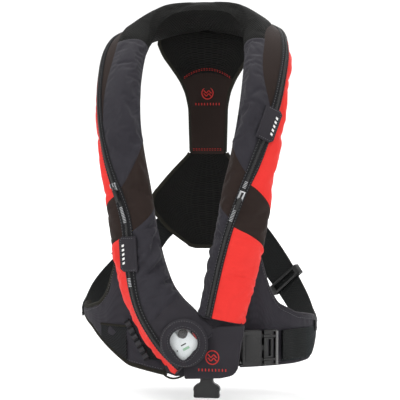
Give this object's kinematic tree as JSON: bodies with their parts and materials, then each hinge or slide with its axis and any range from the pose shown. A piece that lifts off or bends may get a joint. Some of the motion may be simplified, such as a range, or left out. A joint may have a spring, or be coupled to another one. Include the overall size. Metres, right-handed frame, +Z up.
{
  "type": "inflatable life jacket",
  "caption": "Harness-style inflatable life jacket with packed collar lobes, zipped covers, inspection window, padded side wings, back yoke and side-release waist buckle.",
  "frame": {"origin": "centre of the neck opening, level with the seat of the collar at the nape", "axes": "+Z up along the wearer's neck, +X to the wearer's left, -Y out of the wearer's chest"},
  "size_m": [0.357, 0.275, 0.5736],
  "materials": {
    "charcoal_fabric": "matte",
    "softshell": "matte",
    "red_fabric": "matte",
    "spacer_mesh": "matte",
    "neoprene": "matte",
    "zip_tape": "satin",
    "zip_metal": "satin",
    "black_plastic": "satin",
    "webbing": "matte",
    "cord": "matte",
    "window_film": "glossy",
    "inflator_white": "satin",
    "lever_yellow": "satin",
    "cylinder_steel": "satin",
    "bladder_film": "satin",
    "valve_red": "satin",
    "whistle_orange": "satin"
  },
  "bodies": {
    "root": {"collar_mesh": "spacer_mesh", "collar_lining": "spacer_mesh", "air_cell": "bladder_film", "right_shoulder": "softshell", "right_upper_grey": "charcoal_fabric", "right_upper_red": "red_fabric", "right_band_inner": "softshell", "right_band_outer": "softshell", "right_lower_grey": "charcoal_fabric", "right_lower_red": "red_fabric", "right_end_panel": "neoprene", "right_lining": "spacer_mesh", "end_caps": "charcoal_fabric", "left_shoulder": "softshell", "left_upper_grey": "charcoal_fabric", "left_upper_red": "red_fabric", "left_band_inner": "softshell", "left_band_outer": "softshell", "left_lower_grey": "charcoal_fabric", "left_lower_red": "red_fabric", "left_lining": "spacer_mesh", "right_zip_tape": "zip_tape", "left_zip_tape": "zip_tape", "window_rim": "neoprene", "window_pane": "window_film", "front_tab": "neoprene", "inflator_body": "inflator_white", "pull_cord": "cord", "oral_tube": "black_plastic", "whistle": "whistle_orange", "yoke_mesh": "spacer_mesh", "yoke_strap": "softshell", "back_pad": "spacer_mesh", "ring_tab": "webbing", "right_side_strap": "webbing", "left_side_strap": "webbing", "right_wing": "charcoal_fabric", "left_wing": "charcoal_fabric", "pocket_mesh": "spacer_mesh", "waist_webbing": "webbing", "buckle_female": "black_plastic", "crotch_webbing": "webbing"},
    "right_slider": {"right_zip_slider": "zip_metal"},
    "left_slider": {"left_zip_slider": "zip_metal"},
    "right_pull": {"right_zip_pull": "black_plastic"},
    "left_pull": {"left_zip_pull": "black_plastic"},
    "right_guard": {"right_zip_guard": "neoprene"},
    "left_guard": {"left_zip_guard": "neoprene"},
    "right_adjuster": {"right_adjuster": "black_plastic"},
    "left_adjuster": {"left_adjuster": "black_plastic"},
    "clip": {"buckle_male": "black_plastic"},
    "upper_latch": {"upper_latch": "black_plastic"},
    "lower_latch": {"lower_latch": "black_plastic"},
    "crotch_buckle": {"crotch_buckle": "black_plastic"},
    "back_ring": {"back_ring": "black_plastic"},
    "manual_lever": {"manual_lever": "lever_yellow"},
    "inflator_cap": {"inflator_cap": "black_plastic"},
    "gas_cylinder": {"gas_cylinder": "cylinder_steel"},
    "oral_valve": {"oral_valve": "valve_red"},
    "oral_cap": {"oral_cap": "black_plastic"}
  },
  "joints": [
    {"name": "right_zip_run", "type": "slide", "parent": "root", "child": "right_slider", "axis": [0.3624, -0.2172, -0.9064], "range_m": [0, 0.014]},
    {"name": "right_pull_swing", "type": "hinge", "parent": "right_slider", "child": "right_pull", "pos_m": [-0.10563, -0.13182, -0.21332], "axis": [-0.8242, 0.3795, -0.4204], "range_deg": [0, 120]},
    {"name": "right_guard_flap", "type": "hinge", "parent": "root", "child": "right_guard", "pos_m": [-0.06961, -0.14482, -0.30958], "axis": [-0.0554, 0.008, 0.9984], "range_deg": [0, 100]},
    {"name": "left_zip_run", "type": "slide", "parent": "root", "child": "left_slider", "axis": [-0.357, -0.1497, -0.9221], "range_m": [0, 0.014]},
    {"name": "left_pull_swing", "type": "hinge", "parent": "left_slider", "child": "left_pull", "pos_m": [0.08163, -0.14129, -0.22274], "axis": [-0.9075, -0.1783, 0.3803], "range_deg": [0, 120]},
    {"name": "left_guard_flap", "type": "hinge", "parent": "root", "child": "left_guard", "pos_m": [0.10784, -0.11666, -0.12262], "axis": [-0.2823, -0.3651, -0.8872], "range_deg": [0, 100]},
    {"name": "right_adjuster_slide", "type": "slide", "parent": "root", "child": "right_adjuster", "axis": [-0.6575, -0.3931, -0.6428], "range_m": [-0.0055, 0.0055]},
    {"name": "left_adjuster_slide", "type": "slide", "parent": "root", "child": "left_adjuster", "axis": [-0.5402, 0.3229, 0.7771], "range_m": [-0.0055, 0.0055]},
    {"name": "buckle_release", "type": "slide", "parent": "root", "child": "clip", "axis": [0.9272, 0.3746, 0], "range_m": [0, 0.024]},
    {"name": "upper_latch_press", "type": "hinge", "parent": "clip", "child": "upper_latch", "pos_m": [0.10913, -0.0985, -0.428], "axis": [0.3746, -0.9272, 0], "range_deg": [0, 9], "stiffness_Nm_per_rad": 0.2},
    {"name": "lower_latch_press", "type": "hinge", "parent": "clip", "child": "lower_latch", "pos_m": [0.10913, -0.0985, -0.462], "axis": [-0.3746, 0.9272, 0], "range_deg": [0, 9], "stiffness_Nm_per_rad": 0.2},
    {"name": "crotch_buckle_swing", "type": "hinge", "parent": "root", "child": "crotch_buckle", "pos_m": [0.03, -0.129, -0.486], "axis": [1, 0, 0], "range_deg": [-35, 35]},
    {"name": "back_ring_swing", "type": "hinge", "parent": "root", "child": "back_ring", "pos_m": [0, 0.119, -0.2855], "axis": [1, 0, 0], "range_deg": [0, 60]},
    {"name": "manual_lever_pull", "type": "hinge", "parent": "root", "child": "manual_lever", "pos_m": [-0.0101, -0.1275, -0.43931], "axis": [0.0299, 0.998, -0.0551], "range_deg": [0, 70], "stiffness_Nm_per_rad": 0.02},
    {"name": "inflator_cap_turn", "type": "hinge", "parent": "root", "child": "inflator_cap", "pos_m": [-0.00168, -0.12687, -0.42338], "axis": [-0.0299, -0.998, 0.0551], "range_deg": [0, 90]},
    {"name": "gas_cylinder_unscrew", "type": "hinge", "parent": "root", "child": "gas_cylinder", "pos_m": [-0.02981, -0.12387, -0.38414], "axis": [-0.4762, 0.0627, 0.8771], "range_deg": [0, 360]},
    {"name": "oral_valve_press", "type": "slide", "parent": "root", "child": "oral_valve", "axis": [0.132, 0.0495, 0.99], "range_m": [0, 0.003], "stiffness_N_per_m": 40},
    {"name": "oral_cap_pull", "type": "slide", "parent": "root", "child": "oral_cap", "axis": [-0.132, -0.0495, -0.99], "range_m": [0, 0.012]}
  ],
  "couplings": [
    {"joint": "lower_latch_press", "follows": "upper_latch_press", "ratio": 1}
  ]
}
